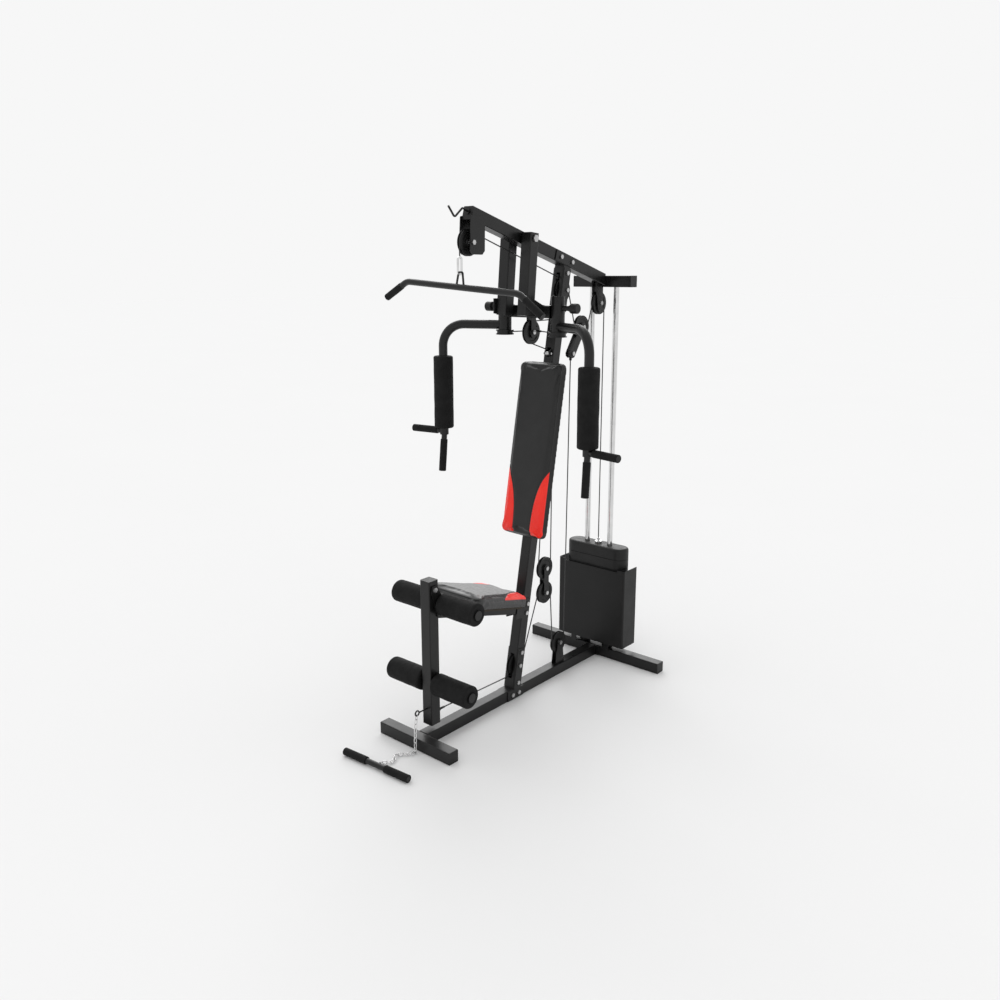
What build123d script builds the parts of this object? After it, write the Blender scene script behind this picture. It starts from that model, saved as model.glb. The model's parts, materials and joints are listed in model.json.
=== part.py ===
from build123d import *
import math
import os

# Multi station home gym, in millimetres.
# X runs across the machine (+X is the sitter's left), -Y is the front, +Z is up.
# The origin is on the floor, under the base rail, midway between the two stabilisers.

# ---- Driving dimensions ----
TUBE = 50.0                  # square frame tube
WALL = 2.0
HALF = TUBE / 2
PLATE = 4.0                  # bracket plate thickness

STABILISER_Y = 604.0         # front and rear stabiliser, each side of the origin
FRONT_STABILISER_LENGTH = 387.5
REAR_STABILISER_LENGTH = 749.0
CAP = 3.0                    # thickness of an end cap's visible flange

UPRIGHT_FOOT = (-27.0, 50.0)     # (y, z) of the upright's centre line at the rail
UPRIGHT_HEAD = (298.0, 1840.0)
BOOM_FRONT_TOP = (-281.0, 2069.0)  # (y, z) of the boom's upper front corner
BOOM_REAR_TOP = (549.0, 1837.0)

CROSSBAR_Y = 616.0
CROSSBAR_TOP = 1817.0
CROSSBAR_LENGTH = 311.0
ROD_X = 65.0                 # guide rods, each side of the middle
ROD_Y = 617.0
ROD_R = 12.5

PLATE_PITCH = 48.0           # weight plates
WEIGHT_END_R = 47.0
WEIGHT_END_X = 117.0
STACK_FLOOR = 76.0
RESTING_COUNT = 6
LIFTED_COUNT = 3
TOP_WEIGHT_HEIGHT = 52.0
BODY_GAP = 0.3               # between pieces that move apart

CABLE_R = 2.5
WHEEL_R = 50.0               # pulley
GROOVE_R = 41.0
WIND_R = 44.0                # cable centre line round a pulley
WHEEL_HALF = 8.0
CHEEK_IN = 9.5               # inner face of a pulley bracket plate
AXLE_R = 5.0
AXLE_FIT = 0.05

FRONT_TOP_WHEEL = (-290.0, 1938.0)   # (y, z) of each pulley
MID_TOP_WHEEL = (296.0, 1757.0)
REAR_TOP_WHEEL = (572.0, 1697.0)
UPPER_BLOCK_WHEEL = (441.0, 1596.0)
UPPER_BLOCK_EYE = (366.0, 1484.0)
LOWER_BLOCK_TOP_WHEEL = (195.0, 540.0)
LOWER_BLOCK_LOW_WHEEL = (195.0, 425.0)
FOOT_WHEEL = (-10.0, 147.0)
BASE_WHEEL = (303.0, 150.0)
PRESS_WHEEL = (90.0, 1590.0)
PRESS_GUIDE = (204.5, 1494.5)        # roller where the press cable leaves the upright
PRESS_ANCHOR = (211.0, 1636.0)       # where it comes back to the upright

LAT_LINK_TOP = 1888.0
PRESS_PIVOT = (12.0, 1959.6)
PRESS_LEG_X = 54.5
ARM_PIVOT = (140.0, 87.0)    # (x, y) of a fly arm's upright post
ARM_Z = 1616.0
ARM_ELBOW = (386.0, -37.0)
ARM_R = 19.0
ARM_BEND = 95.0
ARM_LOW_Z = 1135.0
DRUM_R = 38.0                # cable drum under each arm

BACKREST_Z = (716.0, 1450.0)
BACKREST_WIDTH = 227.0
SEAT_REAR = (-62.4, 513.5)   # (y, z) of the seat's upper rear edge
SEAT_TILT = 14.9
SEAT_LENGTH = 345.0
SEAT_REAR_WIDTH = 248.0
SEAT_FRONT_WIDTH = 300.0
PAD = 38.0                   # thickness of the backrest and of the seat
SEAT_PAD = 52.0
BOARD = 9.0
BACK_PLATE = 3.0             # mounting plates between the upright and the backrest

DEVELOPER_Y = -527.0         # leg developer
DEVELOPER_Z = (75.0, 676.0)
DEVELOPER_PIVOT = (-527.0, 640.0)
ROLLER_ROD_R = 12.5
ROLLER_R = 45.0
ROLLER_IN = 33.0
ROLLER_OUT = 216.0
UPPER_ROLLER = (-487.0, 572.0)
LOWER_ROLLER = (-527.0, 250.0)
LOW_CABLE_GUIDE = (-50.0, 103.0)
LOW_CABLE_TAIL = (-474.0, 115.0)

CHAIN_EYE = (0.0, -606.0, 144.0)
CHAIN_TURN = (30.0, -649.0, 7.8)   # where the chain meets the floor
CHAIN_WIRE_R = 1.75
LINK_HALF_WIDTH = 5.5
LINK_STRAIGHT = 10.0
DROP_LINKS = 8               # links from the eye to the floor, and along the floor
FLOOR_LINKS = 11
FOOT_BAR_Y = -820.0
FOOT_BAR_Z = 15.2
FOOT_BAR_YAW = 4.0

os.makedirs("parts", exist_ok=True)


# ---- Helpers ----
def save(name, solids):
    """Write one node: a single solid, or several separate ones."""
    group = solids if isinstance(solids, (list, ShapeList)) else [solids]
    pieces = [piece for item in group for piece in item.solids()]
    node = pieces[0] if len(pieces) == 1 else Compound(children=pieces)
    node.label = name
    export_step(node, f"parts/{name}.step")


def block(x, y, z):
    """A box from (low, high) pairs."""
    size = (x[1] - x[0], y[1] - y[0], z[1] - z[0])
    middle = (sum(x) / 2, sum(y) / 2, sum(z) / 2)
    return Pos(*middle) * Box(*size)


def rod(start, end, radius):
    """A round bar between two points."""
    start = Vector(*start)
    axis = Vector(*end) - start
    return extrude(Plane(origin=start, z_dir=axis) * Circle(radius), axis.length)


def cross_rod(y, z, low, high, radius):
    """A round bar along X."""
    return rod((low, y, z), (high, y, z), radius)


def square_tube(start, end, side=TUBE, wall=WALL):
    """A square tube with rounded edges, along X or in the middle plane."""
    start = Vector(*start)
    axis = Vector(*end) - start
    across = (0, 1, 0) if abs(axis.X) > abs(axis.Y) + abs(axis.Z) else (1, 0, 0)
    plane = Plane(origin=start, x_dir=across, z_dir=axis)
    profile = RectangleRounded(side, side, 4) - RectangleRounded(side - 2 * wall, side - 2 * wall, 2)
    return extrude(plane * profile, axis.length)


def side_plate(outline, x, thickness=PLATE, corner=0.0):
    """A plate in the YZ plane, from its (y, z) outline, growing towards larger x."""
    face = make_face(Polyline(*[(y, z) for y, z in outline], close=True))
    if corner:
        face = fillet(face.vertices(), corner)
    return extrude(Plane(origin=(x, 0, 0), x_dir=(0, 1, 0), z_dir=(1, 0, 0)) * face, thickness)


def both_sides(outline, inner, thickness=PLATE, corner=0.0):
    """The same side plate left and right of the middle."""
    return [side_plate(outline, inner, thickness, corner),
            side_plate(outline, -inner - thickness, thickness, corner)]


def strap(first, second, half_width):
    """The outline of a slim plate round two (y, z) points, with clipped corners."""
    (y0, z0), (y1, z1) = first, second
    length = math.hypot(y1 - y0, z1 - z0)
    uy, uz = (y1 - y0) / length, (z1 - z0) / length
    outline = []
    for y, z, sign in ((y0, z0, -1), (y1, z1, 1)):
        for along, across in ((0.45, 1.0), (1.0, 0.45), (1.0, -0.45), (0.45, -1.0)):
            a = sign * along * half_width
            b = sign * across * half_width
            outline.append((y + a * uy - b * uz, z + a * uz + b * uy))
    return outline


def hex_head(y, z, x, height, across=17.0):
    """A hexagon head along X, growing towards larger x."""
    face = RegularPolygon(across / 2, 6, major_radius=False)
    return extrude(Plane(origin=(x, y, z), x_dir=(0, 1, 0), z_dir=(1, 0, 0)) * face, height)


def through_bolt(y, z, half, radius=AXLE_R, across=17.0):
    """A bolt along X with a head and a nut outside +-half."""
    bolt = cross_rod(y, z, -half - 6, half + 6, radius)
    return bolt + hex_head(y, z, half, 6, across) + hex_head(y, z, -half - 6, 6, across)


def bore(part, y, z, radius=AXLE_R, reach=400.0):
    """Cut a hole along X."""
    return part - cross_rod(y, z, -reach, reach, radius)


def bore_all(part, points, radius=AXLE_R):
    for y, z in points:
        part = bore(part, y, z, radius)
    return part


def wheel(centre):
    """A cable pulley with a V groove and a hub."""
    y, z = centre
    outline = [(AXLE_R + AXLE_FIT, -WHEEL_HALF), (11, -WHEEL_HALF), (13, -4), (34, -4),
               (37, -7), (WHEEL_R, -7), (WHEEL_R, -5.6), (GROOVE_R, -2.2), (GROOVE_R, 2.2),
               (WHEEL_R, 5.6), (WHEEL_R, 7), (37, 7), (34, 4), (13, 4), (11, WHEEL_HALF),
               (AXLE_R + AXLE_FIT, WHEEL_HALF)]
    profile = make_face(Polyline(*outline, close=True))
    disc = revolve(Plane.XZ * profile, Axis.Z)
    return Pos(0, y, z) * Rot(0, 90, 0) * disc


def belt_edges(stops):
    """Lines and arcs of a tight cable past wheels: stops are (y, z, sense), sense 0 is an end."""
    directions = []
    for (y0, z0, s0), (y1, z1, s1) in zip(stops, stops[1:]):
        offset = (s1 - s0) * WIND_R
        angle = math.atan2(z1 - z0, y1 - y0)
        directions.append(angle - math.asin(offset / math.hypot(y1 - y0, z1 - z0)))
    edges = []
    for k, angle in enumerate(directions):
        ends = []
        for y, z, sense in (stops[k], stops[k + 1]):
            ends.append((0, y + sense * WIND_R * math.sin(angle), z - sense * WIND_R * math.cos(angle)))
        if edges:
            y, z, sense = stops[k]
            turn = (angle - directions[k - 1]) * sense % (2 * math.pi) * sense
            half_way = directions[k - 1] + turn / 2
            middle = (0, y + sense * WIND_R * math.sin(half_way), z - sense * WIND_R * math.cos(half_way))
            edges.append(Edge.make_three_point_arc(edges[-1] @ 1, middle, ends[0]))
        edges.append(Edge.make_line(*ends))
    return edges


def cable(stops, radius=CABLE_R):
    """A tight cable in the middle plane."""
    path = Wire(belt_edges(stops))
    section = Plane(origin=path @ 0, z_dir=path % 0) * Circle(radius)
    return sweep(section, path=path)


def bent_bar(points, radius, bend, inner=0.0):
    """A round bar or tube through points, with its corners rounded."""
    path = FilletPolyline(*points, radius=bend)
    section = Circle(radius) - Circle(inner) if inner else Circle(radius)
    return sweep(Plane(origin=path @ 0, z_dir=path % 0) * section, path=path)


def mirrored(part):
    return mirror(part, Plane.YZ)


# ---- Lines that several parts share ----
def upright_y(z):
    """The upright's centre line at a height."""
    slope = (UPRIGHT_HEAD[0] - UPRIGHT_FOOT[0]) / (UPRIGHT_HEAD[1] - UPRIGHT_FOOT[1])
    return UPRIGHT_FOOT[0] + slope * (z - UPRIGHT_FOOT[1])


UPRIGHT_LEAN = math.degrees(math.atan2(UPRIGHT_HEAD[0] - UPRIGHT_FOOT[0],
                                       UPRIGHT_HEAD[1] - UPRIGHT_FOOT[1]))
BOOM_PITCH = math.degrees(math.atan2(BOOM_REAR_TOP[1] - BOOM_FRONT_TOP[1],
                                     BOOM_REAR_TOP[0] - BOOM_FRONT_TOP[0]))
BOOM_PLANE = Plane(origin=(0, *BOOM_FRONT_TOP), x_dir=(1, 0, 0),
                   z_dir=(0, -math.sin(math.radians(BOOM_PITCH)), math.cos(math.radians(BOOM_PITCH))))
UPRIGHT_PLANE = Plane(origin=(0, *UPRIGHT_FOOT), x_dir=(1, 0, 0),
                      z_dir=(0, math.sin(math.radians(UPRIGHT_LEAN)), math.cos(math.radians(UPRIGHT_LEAN))))
SEAT_PLANE = Plane(origin=(0, *SEAT_REAR), x_dir=(1, 0, 0),
                   z_dir=(0, math.sin(math.radians(SEAT_TILT)), math.cos(math.radians(SEAT_TILT))))


def on_boom(along, depth):
    """(y, z) of a point so far back along the boom and so deep under its top."""
    point = BOOM_PLANE.from_local_coords(Vector(0, along, -depth))
    return point.Y, point.Z


def on_upright(along, forward):
    """(y, z) of a point so far up the upright and so far in front of its centre line."""
    point = UPRIGHT_PLANE.from_local_coords(Vector(0, -forward, along))
    return point.Y, point.Z


def on_seat(forward, depth):
    """(y, z) of a point so far forward from the seat's rear edge and so deep under its top."""
    point = SEAT_PLANE.from_local_coords(Vector(0, -forward, -depth))
    return point.Y, point.Z


def up_the_upright(z):
    """Distance up the upright's centre line to a height."""
    return (z - UPRIGHT_FOOT[1]) / math.cos(math.radians(UPRIGHT_LEAN))


FOOT_BOLTS = [(-18.0, 25.0), (-60.0, 25.0), on_upright(22, 0), on_upright(158, 0)]
HEAD_BOLTS = [on_boom(560, HALF), on_boom(640, HALF), on_upright(1664, 0), on_upright(1806, 0)]
SEAT_BOLTS = [on_upright(up_the_upright(381), 0), on_upright(up_the_upright(421), 0)]
SEAT_TUBE_DEPTH = SEAT_PAD + BOARD + HALF
SEAT_TUBE_FRONT = on_seat(420, SEAT_TUBE_DEPTH)
DEVELOPER_REACH = 31.0


# ---- Base ----
def make_base():
    front = -STABILISER_Y + HALF + 5
    rear = STABILISER_Y - HALF - 5
    rail = square_tube((0, front, HALF), (0, rear, HALF))
    save("base_rail", bore_all(rail, FOOT_BOLTS[:2]))
    bars = []
    for y, length in ((-STABILISER_Y, FRONT_STABILISER_LENGTH), (STABILISER_Y, REAR_STABILISER_LENGTH)):
        end = length / 2 - CAP
        bar = square_tube((-end, y, HALF), (end, y, HALF))
        if y > 0:
            for x in (-ROD_X, ROD_X):
                bar -= Pos(x, ROD_Y, TUBE) * Cylinder(ROD_R, 2 * WALL + 2)
        bars.append(bar)
    save("stabilisers", bars)


def end_cap(centre, outward):
    """A plug cap: a flange as wide as the tube, with a hollow plug inside it."""
    outward = Vector(*outward)
    across = (0, 1, 0) if abs(outward.X) > 0.5 else (1, 0, 0)
    plane = Plane(origin=centre, x_dir=across, z_dir=outward)
    inside = TUBE - 2 * WALL
    flange = extrude(plane * RectangleRounded(TUBE, TUBE, 4), CAP)
    plug = extrude(plane * (RectangleRounded(inside, inside, 2) - Rectangle(inside - 8, inside - 8)), -16)
    return flange + plug


def make_end_caps():
    caps = []
    for y, length, z in ((-STABILISER_Y, FRONT_STABILISER_LENGTH, HALF),
                         (STABILISER_Y, REAR_STABILISER_LENGTH, HALF),
                         (CROSSBAR_Y, CROSSBAR_LENGTH, CROSSBAR_TOP - HALF)):
        for side in (-1, 1):
            caps.append(end_cap((side * (length / 2 - CAP), y, z), (side, 0, 0)))
    boom_end = (0, *on_boom(CAP, HALF))
    caps.append(end_cap(boom_end, -BOOM_PLANE.y_dir))
    save("end_caps", caps)


# ---- Upright, boom and crossbar ----
def make_upright():
    tube = square_tube((0, *on_upright(-20, 0)), (0, *on_upright(1900, 0)))
    tube -= block((-40, 40), (-120, 60), (0, TUBE))
    tube -= BOOM_PLANE * Pos(0, 580, 100 - TUBE) * Box(80, 400, 200)
    tube -= block((-10, 10), (-90, 90), (92, 202))
    tube -= UPRIGHT_PLANE * Pos(0, 0, up_the_upright(1762)) * Box(20, 80, 130)
    tube -= UPRIGHT_PLANE * Pos(0, -HALF, up_the_upright(1496)) * Box(22, 12, 40)
    tube -= UPRIGHT_PLANE * Pos(0, HALF, up_the_upright(1112)) * Box(12, 12, 110)
    bolts = FOOT_BOLTS[2:] + HEAD_BOLTS[2:] + SEAT_BOLTS + [MID_TOP_WHEEL, FOOT_WHEEL]
    save("main_upright", bore_all(tube, bolts))


def make_boom():
    length = math.hypot(BOOM_REAR_TOP[0] - BOOM_FRONT_TOP[0], BOOM_REAR_TOP[1] - BOOM_FRONT_TOP[1])
    tube = square_tube((0, *on_boom(CAP, HALF)), (0, *on_boom(length + 90, HALF)))
    tube -= block((-40, 40), (CROSSBAR_Y - HALF - 4, CROSSBAR_Y + 200), (1500, 2000))
    sleeve = cross_rod(*PRESS_PIVOT, -28, 28, 17)
    boom = bore(tube + sleeve, *PRESS_PIVOT, 8.0)
    save("top_boom", bore_all(boom, HEAD_BOLTS[:2]))


def make_crossbar():
    end = CROSSBAR_LENGTH / 2 - CAP
    bar = square_tube((-end, CROSSBAR_Y, CROSSBAR_TOP - HALF), (end, CROSSBAR_Y, CROSSBAR_TOP - HALF))
    for x in (-ROD_X, ROD_X):
        bar -= Pos(x, ROD_Y, CROSSBAR_TOP - TUBE) * Cylinder(ROD_R, 2 * WALL + 2)
    save("top_crossbar", bar)


def lean_box(plane, along, forward, long, deep, x, thickness=PLATE):
    """A side plate laid along a leaning plane's own axes."""
    return plane * Pos(x + thickness / 2, -forward, along) * Box(thickness, deep, long)


def make_joint_plates():
    plates = []
    for side in (HALF, -HALF - PLATE):
        head = lean_box(UPRIGHT_PLANE, 1736, 0, 180, 44, side)
        top = BOOM_PLANE * Pos(side + PLATE / 2, 600, -HALF) * Box(PLATE, 150, 44)
        plates.append(bore_all(head + top, HEAD_BOLTS + [MID_TOP_WHEEL]))
        foot = lean_box(UPRIGHT_PLANE, 85, 0, 180, 44, side)
        shoe = block((side, side + PLATE), (-90, 15), (3, 47))
        plates.append(bore_all(foot + shoe, FOOT_BOLTS + [FOOT_WHEEL]))
    for y in (-STABILISER_Y + HALF, STABILISER_Y - HALF - 5):
        plates.append(block((-45, 45), (y, y + 5), (2, 48)))
    plates.append(block((-45, 45), (CROSSBAR_Y - HALF - 4, CROSSBAR_Y - HALF), (1770, 1814)))
    for x in (-110, 80):
        leg = block((x, x + 30), (560, 563), (50, 130))
        plates.append(leg + block((x, x + 30), (560, 590), (50, 53)))
    for z in (830, 1330):
        spot = Pos(0, -HALF - BACK_PLATE / 2, up_the_upright(z))
        plates.append(UPRIGHT_PLANE * spot * Box(110, BACK_PLATE, 50))
    save("joint_plates", plates)


def make_frame_bolts():
    bolts = [through_bolt(y, z, HALF + PLATE) for y, z in FOOT_BOLTS + HEAD_BOLTS + SEAT_BOLTS]
    save("frame_bolts", bolts)


def make_lat_bar_hanger():
    """The bent wire at the boom's nose that the lat bar is parked on."""
    start = on_boom(0, 20)
    hook = bent_bar([(0, start[0] - 2, start[1]), (0, -316, 2061), (0, -359, 2026), (0, -391, 2064)], 4, 9)
    washer = rod((0, *start), (0, start[0] - 4, start[1] + 1.1), 11)
    save("lat_bar_hanger", hook + washer)


# ---- Weight stack ----
def make_guide_rods():
    rods = []
    for x in (-ROD_X, ROD_X):
        rods.append(rod((x, ROD_Y, TUBE - WALL), (x, ROD_Y, CROSSBAR_TOP - TUBE + WALL), ROD_R))
    save("guide_rods", rods)
    bumpers = []
    for x in (-ROD_X, ROD_X):
        ring = Pos(x, ROD_Y, (TUBE + STACK_FLOOR) / 2) * Cylinder(26, STACK_FLOOR - TUBE)
        bumpers.append(ring - Pos(x, ROD_Y, STACK_FLOOR / 2) * Cylinder(ROD_R, 200))
    save("rod_bumpers", bumpers)


def weight_outline():
    return SlotCenterToCenter(2 * WEIGHT_END_X, 2 * WEIGHT_END_R)


def weight(low, height):
    """One weight plate, with its two guide holes, centre hole and pin channel."""
    body = extrude(Plane(origin=(0, ROD_Y, low)) * weight_outline(), height)
    body = chamfer(body.faces().sort_by(Axis.Z)[-1].edges(), 3)
    for x in (-ROD_X, ROD_X):
        body -= Pos(x, ROD_Y, low) * Cylinder(ROD_R + 1.5, 3 * height)
    body -= Pos(0, ROD_Y, low) * Cylinder(14, 3 * height)
    channel_z = low + PLATE_PITCH / 2
    return body - rod((0, ROD_Y, channel_z), (0, ROD_Y + 80, channel_z), 6)


def lifted_floor():
    return STACK_FLOOR + RESTING_COUNT * PLATE_PITCH + BODY_GAP


def pin_height():
    return lifted_floor() + PLATE_PITCH / 2


def make_weights():
    resting = []
    for k in range(RESTING_COUNT):
        resting.append(weight(STACK_FLOOR + k * PLATE_PITCH, PLATE_PITCH - 0.5))
    save("resting_weights", resting)
    lifted = []
    for k in range(LIFTED_COUNT):
        lifted.append(weight(lifted_floor() + k * PLATE_PITCH, PLATE_PITCH - 0.5))
    top = lifted_floor() + LIFTED_COUNT * PLATE_PITCH
    crown = extrude(Plane(origin=(0, ROD_Y, top)) * weight_outline(), TOP_WEIGHT_HEIGHT)
    crown = fillet(crown.faces().sort_by(Axis.Z)[-1].edges(), 12)
    for x in (-ROD_X, ROD_X):
        crown -= Pos(x, ROD_Y, top) * Cylinder(ROD_R + 1.5, 200)
    lifted.append(crown - Pos(0, ROD_Y, top) * Cylinder(13, 200))
    save("lifted_weights", lifted)


def make_selector():
    """The rod that hangs from the top weight, its eye, and the pin that picks a plate."""
    top = lifted_floor() + LIFTED_COUNT * PLATE_PITCH + TOP_WEIGHT_HEIGHT
    shaft = rod((0, ROD_Y, STACK_FLOOR + 8), (0, ROD_Y, top + 8), 12.5)
    for k in range(RESTING_COUNT + LIFTED_COUNT):
        hole_z = STACK_FLOOR + (k + 0.5) * PLATE_PITCH + BODY_GAP
        shaft -= rod((0, ROD_Y - 30, hole_z), (0, ROD_Y + 30, hole_z), 5.5)
    shaft += Pos(0, ROD_Y, top + 5) * Cylinder(17, 10)
    shaft += rod((0, ROD_Y, top + 8), (0, ROD_Y, top + 26), 6)
    save("selector_rod", shaft)
    z = pin_height()
    far = ROD_Y + WEIGHT_END_R
    pin = rod((0, ROD_Y - 13, z), (0, far + 12, z), 5)
    pin += rod((0, far + 4, z), (0, far + 12, z), 14)
    pin += rod((0, far + 12, z), (0, far + 34, z), 10)
    save("selector_pin", pin)


def make_shroud():
    """A folded sheet cover, open at the back, with raised corners."""
    low, high = 79.0, 466.0
    half, front, back, sheet = 190.0, 558.0, 665.0, 2.0
    shell = block((-half, half), (front, back), (low, high))
    shell = fillet(shell.edges().filter_by(Axis.Z).sort_by(Axis.Y)[:2], 8)
    inner = block((-half + sheet, half - sheet), (front + sheet, back + 1), (low - 1, high + 1))
    inner = fillet(inner.edges().filter_by(Axis.Z).sort_by(Axis.Y)[:2], 6)
    shell -= inner
    shell -= block((-150, 150), (front - 1, front + 4), (high - 10, high + 1))
    save("weight_shroud", shell)


# ---- Pulleys, brackets and cables ----
def make_pulley_brackets():
    y, z = FRONT_TOP_WHEEL
    front = [(y - 18, z - 30), (y - 4, z - 44), (y + 50, z - 44), (y + 64, z - 30),
             (y + 66, z + 96), (y - 10, z + 96)]
    plates = both_sides(front, HALF, corner=6)
    y, z = REAR_TOP_WHEEL
    under = BOOM_PLANE.from_local_coords(Vector(0, 0, -TUBE))
    slope = math.tan(math.radians(BOOM_PITCH))
    tops = [(y + side, under.Z + slope * (y + side - under.Y)) for side in (14, -40)]
    rear = [(y - 22, z - 30), (y - 10, z - 42), (y + 6, z - 42), (y + 14, z - 30), *tops]
    plates += both_sides(rear, CHEEK_IN)
    y, z = BASE_WHEEL
    ear = [(y - 30, TUBE), (y + 30, TUBE), (y + 16, z + 14), (y - 16, z + 14)]
    plates += both_sides(ear, CHEEK_IN)
    wheels = [FRONT_TOP_WHEEL, REAR_TOP_WHEEL, BASE_WHEEL]
    drilled = [bore_all(plate, wheels) for plate in plates]
    anchor_y, anchor_z = on_upright(up_the_upright(1330), -HALF)
    lug = [(anchor_y - 2, anchor_z - 28), (anchor_y + 22, anchor_z - 20),
           (anchor_y + 22, anchor_z + 6), (anchor_y + 6, anchor_z + 14)]
    lug_plate = side_plate(lug, -3, 6)
    front_lug = side_plate([(212, 1628), (222, 1622), (250, 1622), (250, 1656), (222, 1650), (212, 1644)], -3, 6)
    ear = [(198, 1486), (222, 1482), (222, 1520), (198, 1506)]
    solids = drilled + [lug_plate, front_lug] + [bore(plate, *PRESS_GUIDE, 4.0) for plate in both_sides(ear, 11, 3)]
    core = square_core()
    save("pulley_brackets", [solid - core for solid in solids])


def square_core():
    """The upright's outline as a solid bar, to trim what is welded to it."""
    return UPRIGHT_PLANE * Pos(0, 0, 900) * Box(TUBE, TUBE, 1900)


def make_floating_blocks():
    """The two loose blocks that tie the cables together behind the upright."""
    blocks = []
    for first, second, width in ((UPPER_BLOCK_WHEEL, UPPER_BLOCK_EYE, 18),
                                 (LOWER_BLOCK_TOP_WHEEL, LOWER_BLOCK_LOW_WHEEL, 16)):
        for plate in both_sides(strap(first, second, width), CHEEK_IN):
            blocks.append(bore_all(plate, [first, second]))
    eye_y, eye_z = UPPER_BLOCK_EYE
    lug = cross_rod(eye_y, eye_z, -7, 7, 12) + rod((0, eye_y, eye_z - 30), (0, eye_y, eye_z - 8), 6)
    blocks.append(bore(lug, eye_y, eye_z))
    save("floating_blocks", blocks)


def spacer(y, z, low, high):
    return cross_rod(y, z, low, high, 9) - cross_rod(y, z, low - 1, high + 1, AXLE_R)


def make_axles():
    """Every fixed axle: pulley bolts with their spacers, the press pivot and the lever's bolt."""
    axles = [through_bolt(y, z, HALF + PLATE) for y, z in (FRONT_TOP_WHEEL, MID_TOP_WHEEL, FOOT_WHEEL)]
    inside = HALF - WALL - 0.1
    for (y, z), reach in ((FRONT_TOP_WHEEL, HALF), (MID_TOP_WHEEL, inside), (FOOT_WHEEL, inside)):
        axles += [spacer(y, z, WHEEL_HALF + 0.5, reach), spacer(y, z, -reach, -WHEEL_HALF - 0.5)]
    for y, z in (REAR_TOP_WHEEL, BASE_WHEEL, UPPER_BLOCK_WHEEL, UPPER_BLOCK_EYE,
                 LOWER_BLOCK_TOP_WHEEL, LOWER_BLOCK_LOW_WHEEL):
        axles.append(through_bolt(y, z, CHEEK_IN + PLATE))
    axles.append(through_bolt(*PRESS_PIVOT, PRESS_LEG_X + HALF + 2, 8.0, 26))
    axles.append(through_bolt(*DEVELOPER_PIVOT, DEVELOPER_REACH, 6.0, 19))
    axles += [through_bolt(*PRESS_GUIDE, 14, 4.0, 9), cross_rod(*PRESS_GUIDE, -10, 10, 8.5)
              - cross_rod(*PRESS_GUIDE, -11, 11, 4)]
    save("axles", axles)


def roller_rod(y, z):
    """A rod with a button cap at each end."""
    bar = cross_rod(y, z, -ROLLER_OUT - 4, ROLLER_OUT + 4, ROLLER_ROD_R)
    for side in (-1, 1):
        low, high = sorted((side * (ROLLER_OUT + 1), side * (ROLLER_OUT + 6)))
        bar += cross_rod(y, z, low, high, 19)
    return bar


def stack_eye_z():
    return lifted_floor() + LIFTED_COUNT * PLATE_PITCH + TOP_WEIGHT_HEIGHT + 26


def make_cables():
    lat = cable([(FRONT_TOP_WHEEL[0] - WIND_R, FRONT_TOP_WHEEL[1] - 1, 0), (*FRONT_TOP_WHEEL, -1),
                 (*MID_TOP_WHEEL, -1), (*UPPER_BLOCK_WHEEL, 1), (*REAR_TOP_WHEEL, -1),
                 (REAR_TOP_WHEEL[0] + WIND_R, REAR_TOP_WHEEL[1] - 1, 0)])
    save("lat_cable", lat)
    drop_y = FRONT_TOP_WHEEL[0] - WIND_R
    save("lat_cable_drop", rod((0, drop_y, LAT_LINK_TOP), (0, drop_y, FRONT_TOP_WHEEL[1] - 1 - BODY_GAP), CABLE_R))
    stack_y = REAR_TOP_WHEEL[0] + WIND_R
    save("stack_cable", rod((0, stack_y, stack_eye_z()), (0, stack_y, REAR_TOP_WHEEL[1] - 1 - BODY_GAP), CABLE_R))
    low = cable([(LOW_CABLE_GUIDE[0] + 1, LOW_CABLE_GUIDE[1], 0), (*FOOT_WHEEL, 1),
                 (*LOWER_BLOCK_LOW_WHEEL, -1), (*BASE_WHEEL, 1),
                 (UPPER_BLOCK_EYE[0], UPPER_BLOCK_EYE[1] - 30, 0)])
    guide = on_upright(up_the_upright(1502), HALF - 6)
    anchor_y, anchor_z = on_upright(up_the_upright(1330), -HALF)
    press = cable([(anchor_y + 12, anchor_z - 28, 0), (*LOWER_BLOCK_TOP_WHEEL, -1), (*guide, 0)])
    save("rear_cables", [low, press])
    run = cable([(guide[0] - 4.2, guide[1] + 1.7, 0), (*PRESS_WHEEL, -1), (*PRESS_ANCHOR, 0)])
    save("press_cable_run", run)


def make_wheels():
    wheels = {"front_top_pulley": FRONT_TOP_WHEEL, "mid_top_pulley": MID_TOP_WHEEL,
              "rear_top_pulley": REAR_TOP_WHEEL, "upper_block_pulley": UPPER_BLOCK_WHEEL,
              "lower_block_top_pulley": LOWER_BLOCK_TOP_WHEEL,
              "lower_block_low_pulley": LOWER_BLOCK_LOW_WHEEL, "foot_pulley": FOOT_WHEEL,
              "base_pulley": BASE_WHEEL, "press_pulley": PRESS_WHEEL}
    for name, centre in wheels.items():
        save(name, wheel(centre))


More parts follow.
